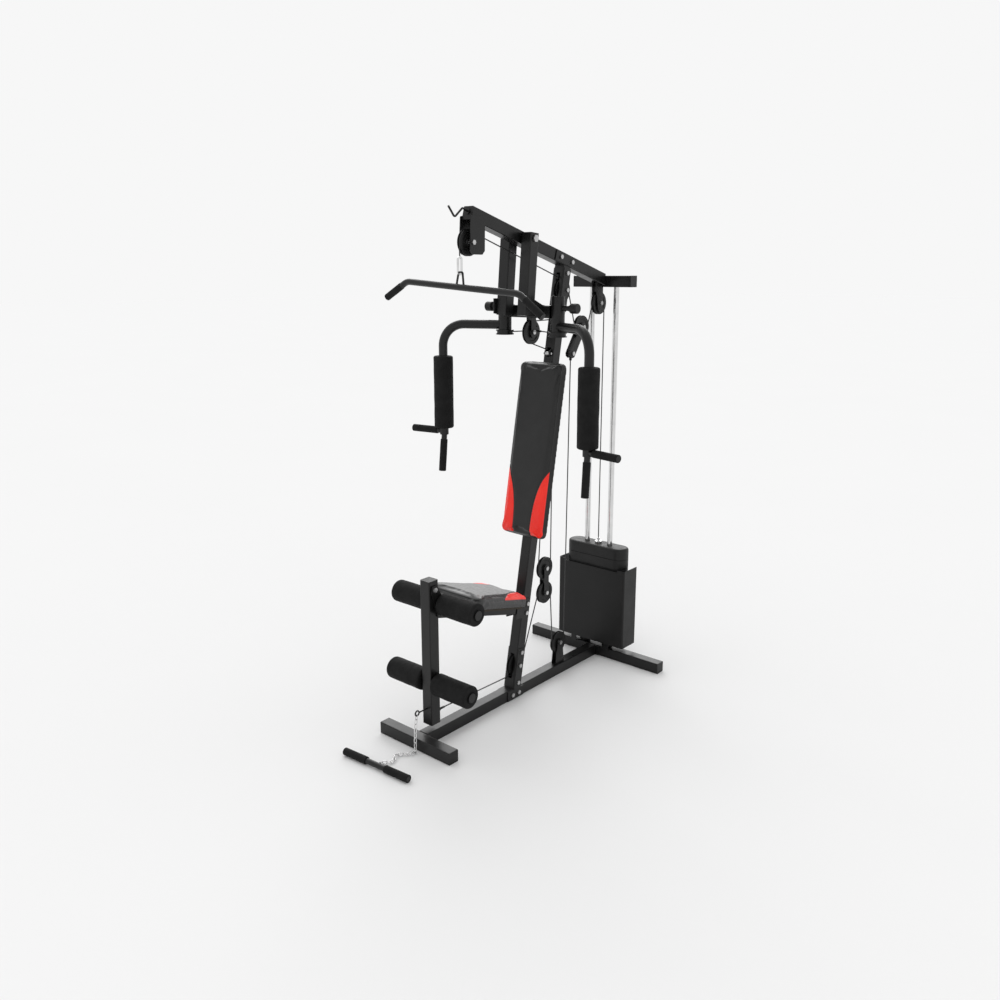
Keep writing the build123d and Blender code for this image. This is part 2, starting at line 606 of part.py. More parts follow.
# ---- Seat and backrest ----
def make_seat_frame():
    tail = on_seat(-140, SEAT_TUBE_DEPTH)
    tube = square_tube((0, *tail), (0, *SEAT_TUBE_FRONT))
    tube -= UPRIGHT_PLANE * Pos(0, 40, 400) * Box(200, TUBE + 80 + 2 * BODY_GAP, 900)
    fork = [on_seat(345, SEAT_TUBE_DEPTH + 20), on_seat(438, SEAT_TUBE_DEPTH + 18),
            (DEVELOPER_PIVOT[0] - 18, DEVELOPER_PIVOT[1] - 12), (DEVELOPER_PIVOT[0] - 12, DEVELOPER_PIVOT[1] + 16),
            (DEVELOPER_PIVOT[0] + 12, DEVELOPER_PIVOT[1] + 16), on_seat(395, SEAT_PAD + BOARD + 2),
            on_seat(345, SEAT_PAD + BOARD + 2)]
    parts = tube
    for plate in both_sides(fork, HALF, DEVELOPER_REACH - HALF):
        parts += plate
    parts -= block((-HALF - 1, HALF + 1), (-620, SEAT_TUBE_FRONT[0] - 8), (480, 720))
    ears = [on_upright(up_the_upright(358), 66), on_upright(up_the_upright(362), -16),
            on_upright(up_the_upright(444), -16), on_upright(up_the_upright(448), 66)]
    for plate in both_sides(ears, HALF, PLATE):
        parts += plate
    parts = bore_all(parts, SEAT_BOLTS)
    parts = bore(parts, *DEVELOPER_PIVOT, 6.0)
    parts = bore(parts, *UPPER_ROLLER, ROLLER_ROD_R)
    save("seat_frame", [parts, roller_rod(*UPPER_ROLLER)])


def seat_face(inset):
    """The seat's outline seen from above, narrower at the back."""
    rear, front = SEAT_REAR_WIDTH / 2 - inset, SEAT_FRONT_WIDTH / 2 - inset
    outline = make_face(Polyline((-rear, -inset), (rear, -inset), (front, inset - SEAT_LENGTH),
                                 (-front, inset - SEAT_LENGTH), close=True))
    return fillet(outline.vertices(), 30)


def back_face(inset):
    half = BACKREST_WIDTH / 2 - inset
    low, high = up_the_upright(BACKREST_Z[0]), up_the_upright(BACKREST_Z[1])
    outline = make_face(Polyline((-half, low + inset), (half, low + inset), (half, high - inset),
                                 (-half, high - inset), close=True))
    return fillet(outline.vertices(), 26)


def make_pads():
    facing = -UPRIGHT_PLANE.y_dir
    origin = UPRIGHT_PLANE.from_local_coords(Vector(0, -HALF - BACK_PLATE, 0))
    face_plane = Plane(origin=origin, x_dir=(1, 0, 0), z_dir=facing)
    boards = [extrude(face_plane * back_face(8), BOARD),
              extrude(SEAT_PLANE.offset(-SEAT_PAD - BOARD) * seat_face(8), BOARD)]
    save("pad_boards", boards)
    pad = extrude(face_plane.offset(BOARD + BODY_GAP) * back_face(0), PAD)
    save("backrest_pad", fillet(pad.faces().sort_by(Axis.Y)[0].edges(), 14))
    seat = extrude(SEAT_PLANE.offset(-SEAT_PAD + BODY_GAP) * seat_face(0), SEAT_PAD - BODY_GAP)
    save("seat_pad", fillet(seat.faces().sort_by(Axis.Z)[-1].edges(), 14))


# ---- Press frame and fly arms ----
def make_press_frame():
    pivot_y, pivot_z = PRESS_PIVOT
    lean = math.radians(5)
    frame = None
    for x in (-PRESS_LEG_X, PRESS_LEG_X):
        top = (x, pivot_y + 22 * math.sin(lean), pivot_z + 22 * math.cos(lean))
        low = (x, pivot_y - 300 * math.sin(lean), pivot_z - 300 * math.cos(lean))
        leg = hanging_tube(top, low) + cross_rod(pivot_y, pivot_z, x - HALF, x + HALF, 15)
        frame = leg if frame is None else frame + leg
    frame += square_tube((-121, 80, 1675), (121, 80, 1675))
    gusset = [(-50, 1728), (-50, 1668), (56, 1652), (103, 1652), (103, 1698), (56, 1703), (-2, 1728)]
    for plate in both_sides(gusset, PRESS_LEG_X + HALF, 5):
        frame += plate
    for side in (-1, 1):
        x, y = side * ARM_PIVOT[0], ARM_PIVOT[1]
        frame += Pos(x, y, 1685) * Cylinder(28, 90)
        frame -= Pos(x, y, 1685) * Cylinder(ARM_R + AXLE_FIT, 120)
        low, high = sorted((side * 163.5, side * 196))
        frame += cross_rod(y, 1690, low, high, 10)
        frame -= cross_rod(y, 1690, *sorted((side * 150, side * 230)), 5.2)
    cheek = [(76, 1652), (76, 1574), (84, 1566), (98, 1566), (126, 1584), (126, 1604), (106, 1612), (106, 1652)]
    for plate in both_sides(cheek, CHEEK_IN):
        frame += plate
    frame = bore(frame, *PRESS_WHEEL, reach=30)
    frame = bore(frame, *PRESS_PIVOT, 8.0 + AXLE_FIT)
    save("press_frame", frame)
    save("press_pulley_axle", through_bolt(*PRESS_WHEEL, CHEEK_IN + PLATE))


def hanging_tube(top, low):
    """One of the press frame's legs, closed at both ends."""
    axis = Vector(*low) - Vector(*top)
    plane = Plane(origin=top, x_dir=(1, 0, 0), z_dir=axis)
    outer = extrude(plane * RectangleRounded(TUBE, TUBE, 4), axis.length)
    inner = extrude(plane.offset(3) * RectangleRounded(TUBE - 2 * WALL, TUBE - 2 * WALL, 2), axis.length - 6)
    return outer - inner


def make_fly_cables():
    """A short strand from each arm's drum to the press pulley's bracket."""
    strands = []
    for side in (-1, 1):
        start = (side * ARM_PIVOT[0], ARM_PIVOT[1] + DRUM_R - 1, 1585)
        end = (side * (CHEEK_IN + PLATE), 117, 1594)
        near = Vector(*end) + (Vector(*start) - Vector(*end)).normalized() * 16
        strands.append(rod(start, tuple(near), CABLE_R) + rod(tuple(near), end, 4.5))
    save("fly_cables", strands)


def make_arm(side_name, side):
    x, y = side * ARM_PIVOT[0], ARM_PIVOT[1]
    elbow = (side * ARM_ELBOW[0], ARM_ELBOW[1])
    post = rod((x, y, 1596), (x, y, 1737), ARM_R) + rod((x, y, 1730.4), (x, y, 1737), 28)
    hub = rod((x, y, 1595), (x, y, 1639.5), 28)
    drum = rod((x, y, 1575), (x, y, 1580), DRUM_R) + rod((x, y, 1579), (x, y, 1591), DRUM_R - 4)
    drum += rod((x, y, 1590), (x, y, 1595), DRUM_R)
    tube = bent_bar([(x, y, ARM_Z), (*elbow, ARM_Z), (*elbow, ARM_LOW_Z)], ARM_R, ARM_BEND)
    handle = rod((*elbow, 1151), (side * 549, elbow[1] - 29, 1151), 12.5)
    stem = rod((*elbow, ARM_LOW_Z + 2), (elbow[0] + side * 2, elbow[1] - 14, 972), 12.5)
    save(f"{side_name}_arm", post + hub + drum + tube + handle + stem)
    pads = [sleeve_on((*elbow, 1479), (*elbow, 1165), 42.5, ARM_R),
            sleeve_on(along((*elbow, 1151), (side * 549, elbow[1] - 29, 1151), 34),
                      (side * 549, elbow[1] - 29, 1151), 16, 12.5),
            sleeve_on(along((*elbow, ARM_LOW_Z + 2), (elbow[0] + side * 2, elbow[1] - 14, 972), 24),
                      (elbow[0] + side * 2, elbow[1] - 14, 972), 16, 12.5)]
    save(f"{side_name}_arm_pads", pads)


def along(start, end, distance):
    """A point so far from start towards end."""
    start = Vector(*start)
    step = (Vector(*end) - start).normalized() * distance
    return tuple(start + step)


def sleeve_on(start, end, outer, inner):
    """A soft sleeve pushed over a round bar."""
    body = rod(start, end, outer)
    rounded = fillet(body.edges().filter_by(GeomType.CIRCLE), min(8, outer - inner - 0.5))
    return rounded - rod(start, end, inner)


def make_lock_pins():
    for name, side in (("left_lock_pin", 1), ("right_lock_pin", -1)):
        y, z = ARM_PIVOT[1], 1690
        pin = cross_rod(y, z, *sorted((side * 162, side * 206)), 5)
        pin += cross_rod(y, z, *sorted((side * 197, side * 206)), 12)
        knob = cross_rod(y, z, *sorted((side * 206, side * 240)), 20)
        save(name, pin + fillet(knob.edges().filter_by(GeomType.CIRCLE), 4))


# ---- Lat bar ----
def make_lat_bar():
    y = FRONT_TOP_WHEEL[0] - WIND_R
    tilt = Pos(0, y, 1775) * Rot(0, 4, 0)
    end_x, end_drop = 400.0, 71.0
    bar = bent_bar([(-end_x, 0, -end_drop), (-286, 0, 0), (286, 0, 0), (end_x, 0, -end_drop)], 12.5, 60)
    loop = bent_bar([(-18, 0, 8), (-10, 0, 54.8), (10, 0, 54.8), (18, 0, 8)], 4, 5)
    save("lat_bar", tilt * (bar + loop))
    grips = []
    for side in (-1, 1):
        tip = (side * end_x, 0, -end_drop)
        inner = along(tip, (side * 286, 0, 0), 98)
        grips.append(tilt * sleeve_on(inner, tip, 14, 12.5))
    save("lat_bar_grips", grips)
    link = SlotOverall(70, 26) - SlotOverall(56, 12)
    ring = extrude(Plane(origin=(-3, y, 1853), x_dir=(0, 0, 1), z_dir=(1, 0, 0)) * link, 6)
    save("snap_link", ring)


# ---- Leg developer, rollers, chain and foot bar ----
def make_leg_developer():
    y = DEVELOPER_Y
    tube = square_tube((0, y, DEVELOPER_Z[0] + CAP), (0, y, DEVELOPER_Z[1] - CAP))
    tube += cross_rod(*DEVELOPER_PIVOT, -HALF, HALF, 12)
    tail = [(y + HALF - 1, 98), (y + HALF + 12, 104), (y + HALF + 25, 110),
            (y + HALF + 25, 120), (y + HALF + 12, 126), (y + HALF - 1, 132)]
    tube += side_plate(tail, -3, 6)
    eye_y, eye_z = CHAIN_EYE[1:]
    tube += rod((0, y - HALF + 1, eye_z), (0, eye_y + 10, eye_z), 3)
    tube += Pos(0, eye_y, eye_z) * Rot(0, 90, 0) * Torus(10, 3)
    tube = bore(tube, *DEVELOPER_PIVOT, 6.0 + AXLE_FIT)
    save("leg_developer", bore(tube, *LOWER_ROLLER, ROLLER_ROD_R))
    save("lower_roller_rod", roller_rod(*LOWER_ROLLER))
    caps = [end_cap((0, y, DEVELOPER_Z[1] - CAP), (0, 0, 1)), end_cap((0, y, DEVELOPER_Z[0] + CAP), (0, 0, -1))]
    save("leg_developer_caps", caps)


def make_rollers():
    for name, (y, z) in (("upper_rollers", UPPER_ROLLER), ("lower_rollers", LOWER_ROLLER)):
        foams = []
        for side in (-1, 1):
            low, high = (side * ROLLER_IN, y, z), (side * ROLLER_OUT, y, z)
            foams.append(sleeve_on(low, high, ROLLER_R, ROLLER_ROD_R + 2 * AXLE_FIT))
        save(name, foams)


def make_low_cable_run():
    """The low cable's free stretch, in two halves that slide apart as the developer swings."""
    start = (0, LOW_CABLE_GUIDE[0], LOW_CABLE_GUIDE[1])
    end = (0, LOW_CABLE_TAIL[0], LOW_CABLE_TAIL[1])
    length = (Vector(*end) - Vector(*start)).length
    middle = along(start, end, length / 2)
    save("low_cable_near", rod(start, middle, CABLE_R))
    far = rod(along(start, end, length / 2 + BODY_GAP), end, CABLE_R)
    save("low_cable_far", far + rod(along(end, start, 22), along(end, start, 2), 4.5))


def link(centre, direction, upward, flat):
    """One chain link along a direction; a flat one has the upward direction as its normal."""
    direction = Vector(*direction).normalized()
    side = Vector(*upward).cross(direction).normalized()
    other = direction.cross(side)
    across = side if flat else other
    plane = Plane(origin=centre, x_dir=direction, z_dir=direction.cross(across))
    half, bend = LINK_STRAIGHT / 2, LINK_HALF_WIDTH
    edges = [Edge.make_line((-half, -bend, 0), (half, -bend, 0)),
             Edge.make_three_point_arc((half, -bend, 0), (half + bend, 0, 0), (half, bend, 0)),
             Edge.make_line((half, bend, 0), (-half, bend, 0)),
             Edge.make_three_point_arc((-half, bend, 0), (-half - bend, 0, 0), (-half, -bend, 0))]
    section = Plane(origin=(-half, -bend, 0), z_dir=(1, 0, 0)) * Circle(CHAIN_WIRE_R)
    return plane * sweep(section, path=Wire(edges))


def chain_drop_links():
    """The stretch that hangs from the eye to the floor."""
    route = Spline(CHAIN_EYE, CHAIN_TURN, tangents=[(0, -0.3, -1), (0.25, -0.3, -1)])
    first = 15.4
    last = route.length - 6.0
    links = []
    for k in range(DROP_LINKS):
        share = (first + (last - first) * k / (DROP_LINKS - 1)) / route.length
        links.append(link(tuple(route @ share), tuple(route % share), (0, -1, 0), k % 2 == 0))
    return links


def chain_floor_links():
    """The stretch on the floor, in a loose S towards the foot bar."""
    x, y, z = CHAIN_TURN
    route = Spline((x, y - 1.5, z), (25, -674, z), (8, -692, z), (-7, -711, z), (-2, -732, z), (15, -744, z),
                   (15, -762, z), (-2, -778, z), (-5, FOOT_BAR_Y + 18, z), tangents=[(0, -1, 0), (0, -1, 0)])
    knots = [route @ (k / FLOOR_LINKS) for k in range(FLOOR_LINKS + 1)]
    links = []
    for k, (start, end) in enumerate(zip(knots, knots[1:])):
        links.append(link(tuple((start + end) / 2), tuple(end - start), (0, 0, 1), k % 2 == 0))
    return links


def make_chain():
    save("chain_drop", chain_drop_links())
    save("chain_floor", chain_floor_links())


def make_foot_bar():
    place = Pos(-5, FOOT_BAR_Y, FOOT_BAR_Z) * Rot(0, 0, FOOT_BAR_YAW)
    bar = rod((-166, 0, 0), (166, 0, 0), 11)
    lug = block((-1, 3), (7, 22.5), (-14, 1)) - cross_rod(16.2, -7.4, -5, 5, 4.2)
    save("foot_bar", place * (bar + lug))
    grips = [place * sleeve_on((side * 48, 0, 0), (side * 167, 0, 0), 15, 11) for side in (-1, 1)]
    save("foot_bar_grips", grips)


make_base()
make_end_caps()
make_upright()
make_boom()
make_crossbar()
make_joint_plates()
make_frame_bolts()
make_lat_bar_hanger()
make_guide_rods()
make_weights()
make_selector()
make_shroud()
make_pulley_brackets()
make_floating_blocks()
make_axles()
make_cables()
make_wheels()
make_seat_frame()
make_pads()
make_press_frame()
make_fly_cables()
make_arm("left", 1)
make_arm("right", -1)
make_lock_pins()
make_lat_bar()
make_leg_developer()
make_rollers()
make_low_cable_run()
make_chain()
make_foot_bar()
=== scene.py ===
import bmesh
import bpy
import json
import math
from mathutils import Matrix, Vector, noise


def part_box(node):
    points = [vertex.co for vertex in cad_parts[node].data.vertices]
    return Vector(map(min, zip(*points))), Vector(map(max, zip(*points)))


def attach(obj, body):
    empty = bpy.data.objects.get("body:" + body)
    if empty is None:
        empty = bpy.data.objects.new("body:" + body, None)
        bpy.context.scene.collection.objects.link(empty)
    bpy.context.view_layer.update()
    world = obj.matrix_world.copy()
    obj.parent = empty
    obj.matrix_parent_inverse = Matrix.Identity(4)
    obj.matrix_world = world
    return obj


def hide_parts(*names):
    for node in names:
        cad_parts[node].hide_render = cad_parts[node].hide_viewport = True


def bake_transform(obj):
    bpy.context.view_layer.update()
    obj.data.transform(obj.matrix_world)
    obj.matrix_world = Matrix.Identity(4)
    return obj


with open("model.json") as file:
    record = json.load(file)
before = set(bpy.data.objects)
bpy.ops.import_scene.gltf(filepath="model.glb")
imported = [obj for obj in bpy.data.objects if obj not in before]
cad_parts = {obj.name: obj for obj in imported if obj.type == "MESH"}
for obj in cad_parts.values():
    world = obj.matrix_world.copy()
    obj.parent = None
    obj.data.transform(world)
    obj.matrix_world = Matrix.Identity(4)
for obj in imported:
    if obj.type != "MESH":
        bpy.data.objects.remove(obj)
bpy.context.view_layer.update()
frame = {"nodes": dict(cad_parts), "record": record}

# Leaning planes of the machine, in metres.
UPRIGHT_LEAN = math.radians(10.291)
UPRIGHT_FOOT = Vector((0, -0.027, 0.05))
SEAT_TILT = math.radians(14.9)
SEAT_REAR = Vector((0, -0.0624, 0.5135))
BACK_HALF = 0.1135
BACK_LOW = 0.6769
BACK_HIGH = 1.4229
BACK_FACE = 0.0373           # the board's face, in front of the upright's centre line
SEAT_LENGTH = 0.345
SEAT_HALF_REAR = 0.124
SEAT_HALF_FRONT = 0.150
BACK_PAD = 0.038
SEAT_PAD = 0.052

# Red panels: the inner edge starts at |x| = START and runs out by RISE over REACH.
BACK_PANEL_START, BACK_PANEL_RISE = 0.047, 0.071
BACK_PANEL_REACH, BACK_PANEL_POWER = 0.315, 3.2
SEAT_PANEL_START, SEAT_PANEL_RISE = 0.070, 0.095
SEAT_PANEL_REACH, SEAT_PANEL_POWER = 0.22, 1.8
PANEL_EDGE_SOFTNESS = 0.0012

# Sewing on the pads.
SEAM_WIDTH, SEAM_DEPTH = 0.0030, 0.0022
WELT_WIDTH, WELT_DEPTH = 0.0026, 0.0018
WELT_SHARE = 0.62            # the welt's height as a share of the pad's thickness
PAD_VOXEL = 0.0048
SWELL_CAP = 0.0065           # how far the cloth may rise from the slab
SWELL_FRAMES = 20

CABLE_RADIUS = 0.0025
BIG_ROLL = 0.03              # rolls above this radius get the deeper dents
GRIP_SHOULDER = 0.0024

UP_UPRIGHT = Vector((0, math.sin(UPRIGHT_LEAN), math.cos(UPRIGHT_LEAN)))
OUT_UPRIGHT = Vector((0, -math.cos(UPRIGHT_LEAN), math.sin(UPRIGHT_LEAN)))
UP_SEAT = Vector((0, math.sin(SEAT_TILT), math.cos(SEAT_TILT)))
FRONT_SEAT = Vector((0, -math.cos(SEAT_TILT), math.sin(SEAT_TILT)))


# ---- Materials ----
class Nodes:
    """A material under construction, with short calls for the nodes it needs."""

    def __init__(self, name, **settings):
        self.material = bpy.data.materials.new(name)
        self.material.use_nodes = True
        self.tree = self.material.node_tree
        self.shader = self.tree.nodes["Principled BSDF"]
        for socket, value in settings.items():
            self.shader.inputs[socket.replace("_", " ")].default_value = value
        self.place = self.node("ShaderNodeTexCoord").outputs["Object"]

    def node(self, kind, **settings):
        made = self.tree.nodes.new(kind)
        for key, value in settings.items():
            setattr(made, key, value)
        return made

    def link(self, source, target):
        self.tree.links.new(source, target)

    def noise(self, scale, detail=3.0, rough=0.55, stretch=None):
        made = self.node("ShaderNodeTexNoise")
        made.inputs["Scale"].default_value = scale
        made.inputs["Detail"].default_value = detail
        made.inputs["Roughness"].default_value = rough
        source = self.place
        if stretch:
            mapping = self.node("ShaderNodeMapping")
            mapping.inputs["Scale"].default_value = stretch
            self.link(source, mapping.inputs["Vector"])
            source = mapping.outputs["Vector"]
        self.link(source, made.inputs["Vector"])
        return made.outputs["Fac"]

    def cells(self, scale):
        made = self.node("ShaderNodeTexVoronoi", feature="F1")
        made.inputs["Scale"].default_value = scale
        self.link(self.place, made.inputs["Vector"])
        return made.outputs["Distance"]

    def ramp(self, factor, *stops):
        made = self.node("ShaderNodeValToRGB")
        points = made.color_ramp.elements
        while len(points) < len(stops):
            points.new(0.5)
        for point, (position, colour) in zip(points, stops):
            point.position = position
            rgb = colour if isinstance(colour, tuple) else (colour,) * 3
            point.color = (*rgb, 1)
        self.link(factor, made.inputs["Fac"])
        return made.outputs["Color"]

    def math(self, operation, first, second=0.0):
        made = self.node("ShaderNodeMath", operation=operation)
        for socket, value in zip(made.inputs, (first, second)):
            if isinstance(value, float):
                socket.default_value = value
            else:
                self.link(value, socket)
        return made.outputs["Value"]

    def mix(self, factor, first, second):
        """Blend two colour sources; a colour mix has them on sockets 6 and 7."""
        made = self.node("ShaderNodeMix", data_type="RGBA")
        self.link(factor, made.inputs["Factor"])
        self.link(first, made.inputs[6])
        self.link(second, made.inputs[7])
        return made.outputs[2]

    def colour(self, source):
        self.link(source, self.shader.inputs["Base Color"])

    def roughness(self, source):
        self.link(source, self.shader.inputs["Roughness"])

    def bump(self, *layers):
        """Stack height layers given as (source, strength, depth in metres)."""
        normal = None
        for source, strength, depth in layers:
            made = self.node("ShaderNodeBump")
            made.inputs["Strength"].default_value = strength
            made.inputs["Distance"].default_value = depth
            self.link(source, made.inputs["Height"])
            if normal:
                self.link(normal, made.inputs["Normal"])
            normal = made.outputs["Normal"]
        self.link(normal, self.shader.inputs["Normal"])


def powder_coat():
    m = Nodes("frame_paint", Specular_IOR_Level=0.32)
    m.colour(m.ramp(m.noise(9, 4), (0.35, 0.0045), (0.7, 0.0075)))
    m.roughness(m.ramp(m.noise(26, 5), (0.3, 0.27), (0.7, 0.36)))
    m.bump((m.noise(900, 2), 0.22, 0.0004), (m.noise(240, 2), 0.12, 0.0006))
    return m.material


def shroud_coat():
    m = Nodes("shroud_paint", Specular_IOR_Level=0.28)
    m.colour(m.ramp(m.noise(7, 4), (0.35, 0.0045), (0.7, 0.0075)))
    m.roughness(m.ramp(m.noise(14, 5), (0.3, 0.4), (0.7, 0.5)))
    m.bump((m.noise(620, 3), 0.3, 0.0006), (m.noise(11, 2), 0.2, 0.002))
    return m.material


def chrome():
    m = Nodes("chrome", Metallic=1.0)
    m.colour(m.ramp(m.noise(30, 4), (0.3, 0.62), (0.7, 0.72)))
    m.roughness(m.ramp(m.noise(60, 5, stretch=(1, 1, 0.05)), (0.35, 0.07), (0.75, 0.17)))
    m.bump((m.noise(300, 3, stretch=(1, 1, 0.03)), 0.05, 0.0002))
    return m.material


def zinc():
    m = Nodes("bolt_zinc", Metallic=1.0)
    m.colour(m.ramp(m.noise(80, 4), (0.3, 0.42), (0.7, 0.58)))
    m.roughness(m.ramp(m.noise(180, 5), (0.3, 0.22), (0.75, 0.38)))
    m.bump((m.noise(900, 3), 0.12, 0.0003))
    return m.material


def moulded(name, shade, rough, grain=700.0):
    m = Nodes(name, Specular_IOR_Level=0.3)
    m.colour(m.ramp(m.noise(12, 4), (0.3, shade * 0.8), (0.7, shade * 1.25)))
    m.roughness(m.ramp(m.noise(40, 5), (0.3, rough - 0.05), (0.7, rough + 0.07)))
    m.bump((m.cells(grain), 0.12, 0.0005), (m.noise(60, 3), 0.1, 0.0008))
    return m.material


def foam():
    m = Nodes("foam", Specular_IOR_Level=0.2)
    m.colour(m.ramp(m.noise(22, 4), (0.3, 0.005), (0.7, 0.009)))
    m.roughness(m.ramp(m.noise(50, 5), (0.3, 0.72), (0.7, 0.86)))
    m.bump((m.cells(620), 0.45, 0.0008), (m.noise(40, 4), 0.25, 0.0015))
    return m.material


def coated_cable():
    m = Nodes("cable_coat", Specular_IOR_Level=0.45)
    m.colour(m.ramp(m.noise(90, 3), (0.3, 0.012), (0.7, 0.02)))
    m.roughness(m.ramp(m.noise(120, 4), (0.3, 0.28), (0.7, 0.42)))
    m.bump((m.noise(700, 2), 0.15, 0.0003))
    return m.material


def plywood():
    m = Nodes("pad_board", Specular_IOR_Level=0.3)
    grain = m.noise(14, 5, stretch=(14, 1, 1))
    m.colour(m.ramp(grain, (0.25, (0.018, 0.014, 0.010)), (0.75, (0.045, 0.034, 0.022))))
    m.roughness(m.ramp(grain, (0.3, 0.6), (0.7, 0.75)))
    m.bump((grain, 0.25, 0.0006))
    return m.material


def vinyl(name, red_mask=None, gloss=0.38):
    """Grained vinyl, black, with orange-red panels where the mask says."""
    m = Nodes(name, Specular_IOR_Level=gloss)
    black = m.ramp(m.noise(16, 4), (0.3, 0.005), (0.7, 0.009))
    red = m.ramp(m.noise(12, 3), (0.3, (0.84, 0.013, 0.006)), (0.7, (0.95, 0.026, 0.011)))
    m.colour(m.mix(red_mask(m), black, red) if red_mask else black)
    m.roughness(m.ramp(m.noise(70, 5), (0.3, 0.30), (0.7, 0.42)))
    m.bump((m.cells(430), 0.35, 0.0007), (m.noise(300, 4), 0.2, 0.0005),
           (m.noise(14, 3), 0.2, 0.002))
    return m.material


def edge_mask(m, distance):
    """1 where a distance is positive, with a soft step."""
    scaled = m.math("DIVIDE", distance, PANEL_EDGE_SOFTNESS)
    return m.math("MINIMUM", m.math("MAXIMUM", scaled, 0.0), 1.0)


def across_and(m, axis):
    """|x| and one other coordinate of the object's own space."""
    split = m.node("ShaderNodeSeparateXYZ")
    m.link(m.place, split.inputs["Vector"])
    return m.math("ABSOLUTE", split.outputs["X"]), split.outputs[axis]


# ---- Red panels: where their inner edge runs ----
def back_panel_edge(height):
    """|x| of the red panel's inner edge, by distance above the backrest's lower end."""
    share = min(max(height / BACK_PANEL_REACH, 0.0), 1.0)
    return BACK_PANEL_START + BACK_PANEL_RISE * share ** BACK_PANEL_POWER


def seat_panel_edge(forward):
    """|x| of the red panel's inner edge, by distance in front of the seat's rear end."""
    share = min(max(forward / SEAT_PANEL_REACH, 0.0), 1.0)
    return SEAT_PANEL_START + SEAT_PANEL_RISE * share ** SEAT_PANEL_POWER


def above(m, plane_up, height):
    """Distance above a leaning plane, in the object's own space."""
    product = m.node("ShaderNodeVectorMath", operation="DOT_PRODUCT")
    m.link(m.place, product.inputs[0])
    product.inputs[1].default_value = plane_up
    return m.math("SUBTRACT", product.outputs["Value"], height)


def panel_mask(axis, low, reach, start, rise, power, floor=None):
    """A panel's edge as a shader mask.

    Along one axis the edge follows start + rise * share ** power from low over
    reach; floor is (up, height), the plane under which nothing is red, or None.
    """
    def mask(m):
        across, along = across_and(m, axis)
        share = m.math("DIVIDE", m.math("SUBTRACT", along, low), reach)
        share = m.math("MINIMUM", m.math("MAXIMUM", share, 0.0), 1.0)
        edge = m.math("ADD", m.math("MULTIPLY", m.math("POWER", share, power), rise), start)
        inside = edge_mask(m, m.math("SUBTRACT", across, edge))
        return m.math("MINIMUM", inside, edge_mask(m, above(m, *floor))) if floor else inside
    return mask


# ---- Mesh helpers ----
def mesh_object(name, bm, material):
    """Turn a bmesh into a smooth-shaded scene object."""
    mesh = bpy.data.meshes.new(name)
    bm.to_mesh(mesh)
    bm.free()
    piece = bpy.data.objects.new(name, mesh)
    bpy.context.scene.collection.objects.link(piece)
    for polygon in mesh.polygons:
        polygon.use_smooth = True
    mesh.materials.append(material)
    return piece


def lathe(name, profile, start, end, material, segments=72, dent=0.0, seed=0):
    """A closed turned body along start-end; profile is (distance, radius) pairs."""
    start, end = Vector(start), Vector(end)
    axis = (end - start).normalized()
    side = axis.orthogonal().normalized()
    other = axis.cross(side)
    bm = bmesh.new()
    rings = []
    for distance, radius in profile:
        ring = []
        for k in range(segments):
            angle = 2 * math.pi * k / segments
            out = side * math.cos(angle) + other * math.sin(angle)
            spot = start + axis * distance + out * radius
            wobble = noise.noise(spot * 22 + Vector((seed, 0, 0))) * dent
            ring.append(bm.verts.new(spot + out * wobble))
        rings.append(ring)
    for low, high in zip(rings, rings[1:] + rings[:1]):
        for k in range(segments):
            following = (k + 1) % segments
            bm.faces.new((low[k], low[following], high[following], high[k]))
    bmesh.ops.recalc_face_normals(bm, faces=bm.faces)
    return mesh_object(name, bm, material)


def sleeve_profile(length, outer, inner, shoulder, steps=6, rows=22):
    """A thick sleeve with rounded shoulders, as a closed (distance, radius) loop."""
    profile = [(0.0, inner)]
    for k in range(steps + 1):
        angle = math.pi / 2 * k / steps
        profile.append((shoulder * (1 - math.cos(angle)),
                        outer - shoulder * (1 - math.sin(angle))))
    for k in range(1, rows):
        profile.append((shoulder + (length - 2 * shoulder) * k / rows, outer))
    for k in range(steps + 1):
        angle = math.pi / 2 * (1 - k / steps)
        profile.append((length - shoulder * (1 - math.cos(angle)),
                        outer - shoulder * (1 - math.sin(angle))))
    profile.append((length, inner))
    return profile


def tube(name, points, radius, material, segments=16):
    """A closed round rod through points in the x = 0 plane, with rings only at those points."""
    bm = bmesh.new()
    rings = []
    last = len(points) - 1
    for k, spot in enumerate(points):
        axis = (Vector(points[min(k + 1, last)]) - Vector(points[max(k - 1, 0)])).normalized()
        side = Vector((1, 0, 0))
        other = axis.cross(side).normalized()
        ring = []
        for j in range(segments):
            angle = 2 * math.pi * j / segments
            out = side * math.cos(angle) + other * math.sin(angle)
            ring.append(bm.verts.new(Vector(spot) + out * radius))
        rings.append(ring)
    for low, high in zip(rings, rings[1:]):
        for j in range(segments):
            following = (j + 1) % segments
            bm.faces.new((low[j], low[following], high[following], high[j]))
    bm.faces.new(rings[0][::-1])
    bm.faces.new(rings[-1])
    bmesh.ops.recalc_face_normals(bm, faces=bm.faces)
    return mesh_object(name, bm, material)


# ---- Pads ----
def rounded_outline(corners, radius, steps=8):
    """A closed outline with rounded corners, from (a, b) corner points in order."""
    outline = []
    count = len(corners)
    for k in range(count):
        corner = Vector(corners[k])
        before = (Vector(corners[k - 1]) - corner).normalized()
        after = (Vector(corners[(k + 1) % count]) - corner).normalized()
        half = math.acos(max(-1.0, min(1.0, before.dot(after)))) / 2
        reach = radius / math.tan(half)
        centre = corner + (before + after).normalized() * (radius / math.sin(half))
        first = corner + before * reach - centre
        last = corner + after * reach - centre
        turn = first.angle_signed(last)
        for j in range(steps + 1):
            outline.append(centre + Matrix.Rotation(-turn * j / steps, 2) @ first)
    return outline


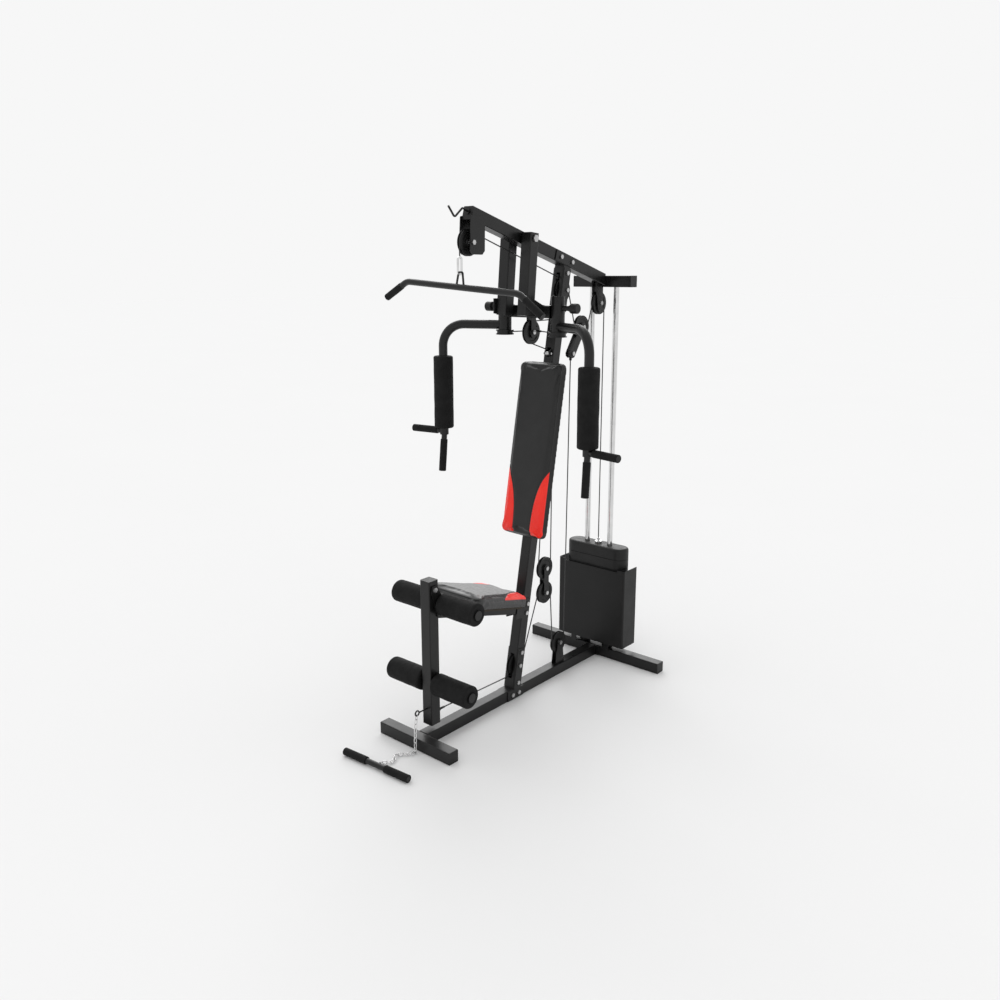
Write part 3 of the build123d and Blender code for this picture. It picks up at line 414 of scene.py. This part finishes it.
def slab(outline, thickness, place):
    """A closed slab with a rounded front edge; place maps (a, b, height) to world space."""
    bm = bmesh.new()
    middle = sum(outline, Vector((0, 0))) / len(outline)
    rings = []
    for inset, height in ((0.0, 0.0), (0.0, thickness * 0.72), (0.0025, thickness * 0.86),
                          (0.008, thickness * 0.97), (0.016, thickness)):
        ring = []
        for spot in outline:
            inward = (middle - spot).normalized() * inset
            ring.append(bm.verts.new(place(spot.x + inward.x, spot.y + inward.y, height)))
        rings.append(ring)
    for low, high in zip(rings, rings[1:]):
        for k in range(len(outline)):
            following = (k + 1) % len(outline)
            bm.faces.new((low[k], low[following], high[following], high[k]))
    bm.faces.new(rings[0][::-1])
    bm.faces.new(rings[-1])
    bmesh.ops.recalc_face_normals(bm, faces=bm.faces)
    return bm


def remesh(piece, size):
    """Even out a mesh with voxels and apply the result."""
    modifier = piece.modifiers.new("even", "REMESH")
    modifier.mode = "VOXEL"
    modifier.voxel_size = size
    apply_modifiers(piece)


def apply_modifiers(piece):
    """Replace the mesh by its evaluated form and drop the modifiers."""
    bpy.context.view_layer.update()
    graph = bpy.context.evaluated_depsgraph_get()
    result = bpy.data.meshes.new_from_object(piece.evaluated_get(graph))
    materials = [slot.material for slot in piece.material_slots]
    piece.modifiers.clear()
    piece.data = result
    result.materials.clear()
    for material in materials:
        result.materials.append(material)
    for polygon in result.polygons:
        polygon.use_smooth = True


def inflate(piece, pinned, cap, pressure=4.0):
    """Blow the cover up with the cloth solver, holding the pinned points, and cap the swelling."""
    rest = [vertex.co.copy() for vertex in piece.data.vertices]
    group = piece.vertex_groups.new(name="held")
    group.add([vertex.index for vertex in piece.data.vertices if pinned(vertex.co)], 1.0, "REPLACE")
    cloth = piece.modifiers.new("swell", "CLOTH")
    cloth.settings.use_pressure = True
    cloth.settings.uniform_pressure_force = pressure
    cloth.settings.vertex_group_mass = "held"
    cloth.settings.quality = 6
    cloth.settings.tension_stiffness = 30
    cloth.settings.compression_stiffness = 30
    cloth.settings.shear_stiffness = 15
    cloth.settings.bending_stiffness = 1.0
    cloth.settings.effector_weights.gravity = 0
    scene = bpy.context.scene
    for step in range(1, SWELL_FRAMES + 1):
        scene.frame_set(step)
    apply_modifiers(piece)
    scene.frame_set(1)
    for vertex, start in zip(piece.data.vertices, rest):
        move = vertex.co - start
        if move.length > cap:
            vertex.co = start + move.normalized() * cap


def push(piece, depth_at):
    """Move each point inwards along its normal by depth_at(point, normal)."""
    normals = [vertex.normal.copy() for vertex in piece.data.vertices]
    for vertex, normal in zip(piece.data.vertices, normals):
        vertex.co -= normal * depth_at(vertex.co, normal)


def groove(distance, width, depth):
    """A sewn channel's depth at a distance from its line."""
    return depth * math.exp(-(distance / width) ** 2)


def back_place(a, b, height):
    """World position over the backrest board: a across, b up the upright."""
    out = OUT_UPRIGHT * (BACK_FACE + 0.0004 + height)
    return UPRIGHT_FOOT + out + UP_UPRIGHT * b + Vector((a, 0, 0))


def seat_place(a, b, height):
    """World position over the seat board: a across, b towards the seat's front."""
    lift = UP_SEAT * (height - SEAT_PAD + 0.0006)
    return SEAT_REAR + FRONT_SEAT * b + lift + Vector((a, 0, 0))


def make_pad(name, outline, thickness, place, material, line_depth, out, origin, node):
    """One upholstered pad: a slab, swollen by the cloth solver, with its seams pressed in."""
    piece = mesh_object(name, slab(outline, thickness - 0.006, place), material)
    remesh(piece, PAD_VOXEL)
    base = origin.dot(out)
    inflate(piece, lambda spot: spot.dot(out) - base < 0.005, SWELL_CAP)
    smooth = piece.modifiers.new("finer", "SUBSURF")
    smooth.levels = 1
    smooth.render_levels = 1
    apply_modifiers(piece)
    push(piece, line_depth)
    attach(piece, "frame")
    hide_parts(node)
    return piece


def make_backrest():
    """Backrest pad with its red side panels, sewn lines and welt."""
    half = BACK_HALF + 0.003
    corners = [(-half, BACK_LOW), (half, BACK_LOW), (half, BACK_HIGH), (-half, BACK_HIGH)]
    outline = rounded_outline(corners, 0.024)
    base = UPRIGHT_FOOT + OUT_UPRIGHT * BACK_FACE
    low = (UPRIGHT_FOOT + UP_UPRIGHT * BACK_LOW).z

    def depth(spot, normal):
        height = (spot - UPRIGHT_FOOT).dot(UP_UPRIGHT) - BACK_LOW
        lift = (spot - base).dot(OUT_UPRIGHT)
        front = max(0.0, normal.dot(OUT_UPRIGHT))
        inner = abs(abs(spot.x) - back_panel_edge(height)) if height < 0.33 else 1.0
        seam = groove(inner, SEAM_WIDTH, SEAM_DEPTH) * front
        welt = groove(lift - BACK_PAD * WELT_SHARE, WELT_WIDTH, WELT_DEPTH) * (1 - front)
        return seam + welt

    reach = BACK_PANEL_REACH * math.cos(UPRIGHT_LEAN)
    welt_height = base.dot(OUT_UPRIGHT) + BACK_PAD * WELT_SHARE
    mask = panel_mask("Z", low, reach, BACK_PANEL_START, BACK_PANEL_RISE, BACK_PANEL_POWER,
                      (OUT_UPRIGHT, welt_height))
    return make_pad("backrest_cover", outline, BACK_PAD, back_place, vinyl("back_vinyl", mask),
                    depth, OUT_UPRIGHT, base, "backrest_pad")


def make_seat():
    """Seat pad, wider at the front, with red panels at its rear sides."""
    rear, front = SEAT_HALF_REAR + 0.002, SEAT_HALF_FRONT + 0.002
    corners = [(-rear, 0), (-front, SEAT_LENGTH), (front, SEAT_LENGTH), (rear, 0)]
    outline = rounded_outline(corners, 0.028)
    base = SEAT_REAR - UP_SEAT * SEAT_PAD

    def depth(spot, normal):
        forward = (spot - SEAT_REAR).dot(FRONT_SEAT)
        lift = (spot - base).dot(UP_SEAT)
        top = max(0.0, normal.dot(UP_SEAT))
        inner = abs(abs(spot.x) - seat_panel_edge(forward)) if forward < 0.2 else 1.0
        seam = groove(inner, SEAM_WIDTH, SEAM_DEPTH) * top
        welt = groove(lift - SEAT_PAD * WELT_SHARE, WELT_WIDTH, WELT_DEPTH) * (1 - top)
        return seam + welt

    reach = -SEAT_PANEL_REACH * math.cos(SEAT_TILT)
    welt_height = SEAT_REAR.dot(UP_SEAT) - SEAT_PAD * (1 - WELT_SHARE)
    mask = panel_mask("Y", SEAT_REAR.y, reach, SEAT_PANEL_START, SEAT_PANEL_RISE, SEAT_PANEL_POWER,
                      (UP_SEAT, welt_height))
    return make_pad("seat_cover", outline, SEAT_PAD, seat_place, vinyl("seat_vinyl", mask, 0.7),
                    depth, UP_SEAT, base, "seat_pad")


# ---- Foam rolls and grips ----
def foam_roll(name, start, end, outer, inner, body, material, seed=0, shoulder=0.008):
    """A foam sleeve from start to end with a faintly dented surface, riding on one body."""
    length = (Vector(end) - Vector(start)).length
    piece = lathe(name, sleeve_profile(length, outer, inner, shoulder), start, end, material,
                  dent=0.0011 if outer > BIG_ROLL else 0.0004, seed=seed)
    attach(piece, body)
    return piece


def make_rolls(material):
    """The four leg rolls."""
    for node, y, z in (("upper_rollers", -0.487, 0.572), ("lower_rollers", -0.527, 0.250)):
        for name, side in (("right", -1), ("left", 1)):
            piece = foam_roll(f"{node}_foam_{name}", (side * 0.033, y, z), (side * 0.216, y, z),
                              0.0448, 0.0128, node, material, seed=side * 3 + z)
            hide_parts(node)


def make_arm_foam(material):
    """The fly arms' pads and the covers of their two grips."""
    for name, side in (("left", 1), ("right", -1)):
        x, y = side * 0.386, -0.037
        side_tip = (side * 0.549, y - 0.029, 1.151)
        low_tip = (x + side * 0.002, y - 0.014, 0.972)
        parts = [((x, y, 1.479), (x, y, 1.165), 0.0422, 0.0191, 0.008),
                 (toward((x, y, 1.151), side_tip, 0.034), side_tip, 0.0158, 0.0126, GRIP_SHOULDER),
                 (toward((x, y, 1.137), low_tip, 0.024), low_tip, 0.0158, 0.0126, GRIP_SHOULDER)]
        for k, (start, end, outer, inner, shoulder) in enumerate(parts):
            piece = foam_roll(f"{name}_arm_foam_{k}", start, end, outer, inner, f"{name}_arm",
                              material, seed=side * 5 + k, shoulder=shoulder)
            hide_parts(f"{name}_arm_pads")


def make_bar_grips(material):
    """The covers of the foot bar's and the lat bar's grips."""
    turn = Matrix.Rotation(math.radians(4), 3, "Z")
    tilt = Matrix.Rotation(math.radians(4), 3, "Y")
    for name, side in (("left", 1), ("right", -1)):
        middle = Vector((-0.005, -0.820, 0.0152))
        start = middle + turn @ Vector((side * 0.048, 0, 0))
        end = middle + turn @ Vector((side * 0.167, 0, 0))
        piece = foam_roll(f"foot_bar_foam_{name}", start, end, 0.0148, 0.0111, "foot_bar", material,
                          seed=side * 7, shoulder=GRIP_SHOULDER)
        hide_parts("foot_bar_grips")
        middle = Vector((0, -0.334, 1.775))
        tip = middle + tilt @ Vector((side * 0.4, 0, -0.071))
        knee = middle + tilt @ Vector((side * 0.286, 0, 0))
        piece = foam_roll(f"lat_bar_foam_{name}", toward(tip, knee, 0.098), tip, 0.0138, 0.0126,
                          "lat_bar", material, seed=side * 9, shoulder=0.0008)
        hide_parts("lat_bar_grips")


def toward(start, end, distance):
    """The point a given distance from start on the way to end."""
    start, end = Vector(start), Vector(end)
    return start + (end - start).normalized() * distance


# ---- Cables that stretch ----
def make_stretching_cables(material):
    """Cable runs between two bodies: straight at rest and at every pose."""
    lat = tube("lat_cable_run", [(0, -0.334, 1.937), (0, -0.334, 1.888)], CABLE_RADIUS, material)
    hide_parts("lat_cable_drop")
    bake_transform(lat)
    top, foot = (0, 0.616, 1.696), (0, 0.616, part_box("stack_cable")[0][2])
    stack = tube("stack_cable_run", [top, foot], CABLE_RADIUS, material)
    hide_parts("stack_cable")
    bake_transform(stack)
    make_press_cable(material)
    make_low_cable(material)


def make_low_cable(material):
    """From the upright's foot to the leg lever: one straight run that lengthens with the swing."""
    near, far = (0, -0.0505, 0.103), (0, -0.477, 0.1151)
    run = tube("low_cable_run", [near, far], CABLE_RADIUS, material)
    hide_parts("low_cable_near", "low_cable_far")
    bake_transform(run)
    sleeve = [(0.0, 0.0028), (0.0012, 0.0045), (0.0188, 0.0045), (0.02, 0.0028)]
    crimp = lathe("low_cable_crimp", sleeve, toward(far, near, 0.022), toward(far, near, 0.002),
                  material)
    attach(crimp, "low_cable_end")


def make_press_cable(material):
    """From the upright round the press frame's pulley and back to the upright."""
    wheel = Vector((0, 0.090, 1.590))
    runs = (("low", (0, 0.2137, 1.5071), (0, 0.0774, 1.5478)),
            ("high", (0, 0.211, 1.636), (0, 0.0893, 1.634)))
    for name, fixed, moving in runs:
        piece = tube(f"press_cable_{name}", [fixed, moving], CABLE_RADIUS, material)
        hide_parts("press_cable_run")
        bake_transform(piece)
    wrap, steps = 162.4, 24
    points = []
    for k in range(steps + 1):
        angle = math.radians(253.3 - wrap * k / steps)
        points.append(wheel + Vector((0, math.cos(angle), math.sin(angle))) * 0.044)
    turn = tube("press_cable_turn", points, CABLE_RADIUS, material)
    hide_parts("press_cable_run")
    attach(turn, "press_frame")


# ---- Frame nodes ----
def finish_nodes():
    """Give every CAD node the finish of its own material slot."""
    finishes = {"frame_paint": powder_coat(), "shroud_paint": shroud_coat(), "chrome": chrome(),
                "bolt_zinc": zinc(), "plate_vinyl": moulded("plate_vinyl", 0.007, 0.45, 500.0),
                "pulley_nylon": moulded("pulley_nylon", 0.006, 0.38),
                "cap_plastic": moulded("cap_plastic", 0.006, 0.42),
                "bumper_rubber": moulded("bumper_rubber", 0.012, 0.7, 400.0), "foam": foam(),
                "cable_coat": coated_cable(), "pad_board": plywood(),
                "upholstery": vinyl("upholstery")}
    for entry in frame["record"]["subparts"]:
        mesh = frame["nodes"][entry["node"]].data
        mesh.materials.clear()
        mesh.materials.append(finishes[entry["material_slot"]])
    return finishes


# ---- Studio ----
def make_studio():
    """A pale floor, a white room and two wide sun lamps (name, strength, width, direction)."""
    scene = bpy.context.scene
    scene.view_settings.view_transform = "Standard"
    world = bpy.data.worlds.new("studio")
    world.use_nodes = True
    world.node_tree.nodes["Background"].inputs["Color"].default_value = (0.93, 0.93, 0.93, 1)
    scene.world = world
    floor = Nodes("studio_floor", Roughness=0.9, Specular_IOR_Level=0.0)
    floor.colour(floor.ramp(floor.noise(0.8, 2), (0.3, 0.776), (0.7, 0.780)))
    bpy.ops.mesh.primitive_plane_add(size=120, location=(0, 20, -0.0005))
    ground = bpy.context.object
    ground.name = "studio_ground"
    ground.data.materials.append(floor.material)
    lamps = (("key", 0.5, 50, (-0.53, 0.18, 0.83)), ("back", 0.9, 45, (-0.57, 0.67, 0.47)))
    for name, energy, width, source in lamps:
        lamp = bpy.data.lights.new(name, "SUN")
        lamp.energy = energy
        lamp.angle = math.radians(width)
        holder = bpy.data.objects.new(name, lamp)
        holder.rotation_euler = Vector(source).to_track_quat("Z", "Y").to_euler()
        scene.collection.objects.link(holder)


def make_camera():
    """The three-quarter view from the sitter's front left, at eye height."""
    camera = bpy.data.cameras.new("camera")
    camera.sensor_width = 36
    camera.lens = 32.12
    camera.shift_x = -0.0065
    camera.shift_y = -0.0183
    holder = bpy.data.objects.new("camera", camera)
    holder.location = (2.349, -2.815, 1.819)
    holder.rotation_euler = Vector((-0.633, 0.7406, -0.2255)).to_track_quat("-Z", "Y").to_euler()
    bpy.context.scene.collection.objects.link(holder)
    bpy.context.scene.camera = holder


finishes = finish_nodes()
make_backrest()
make_seat()
make_rolls(finishes["foam"])
make_arm_foam(finishes["foam"])
make_bar_grips(finishes["foam"])
make_stretching_cables(finishes["cable_coat"])
make_studio()
make_camera()
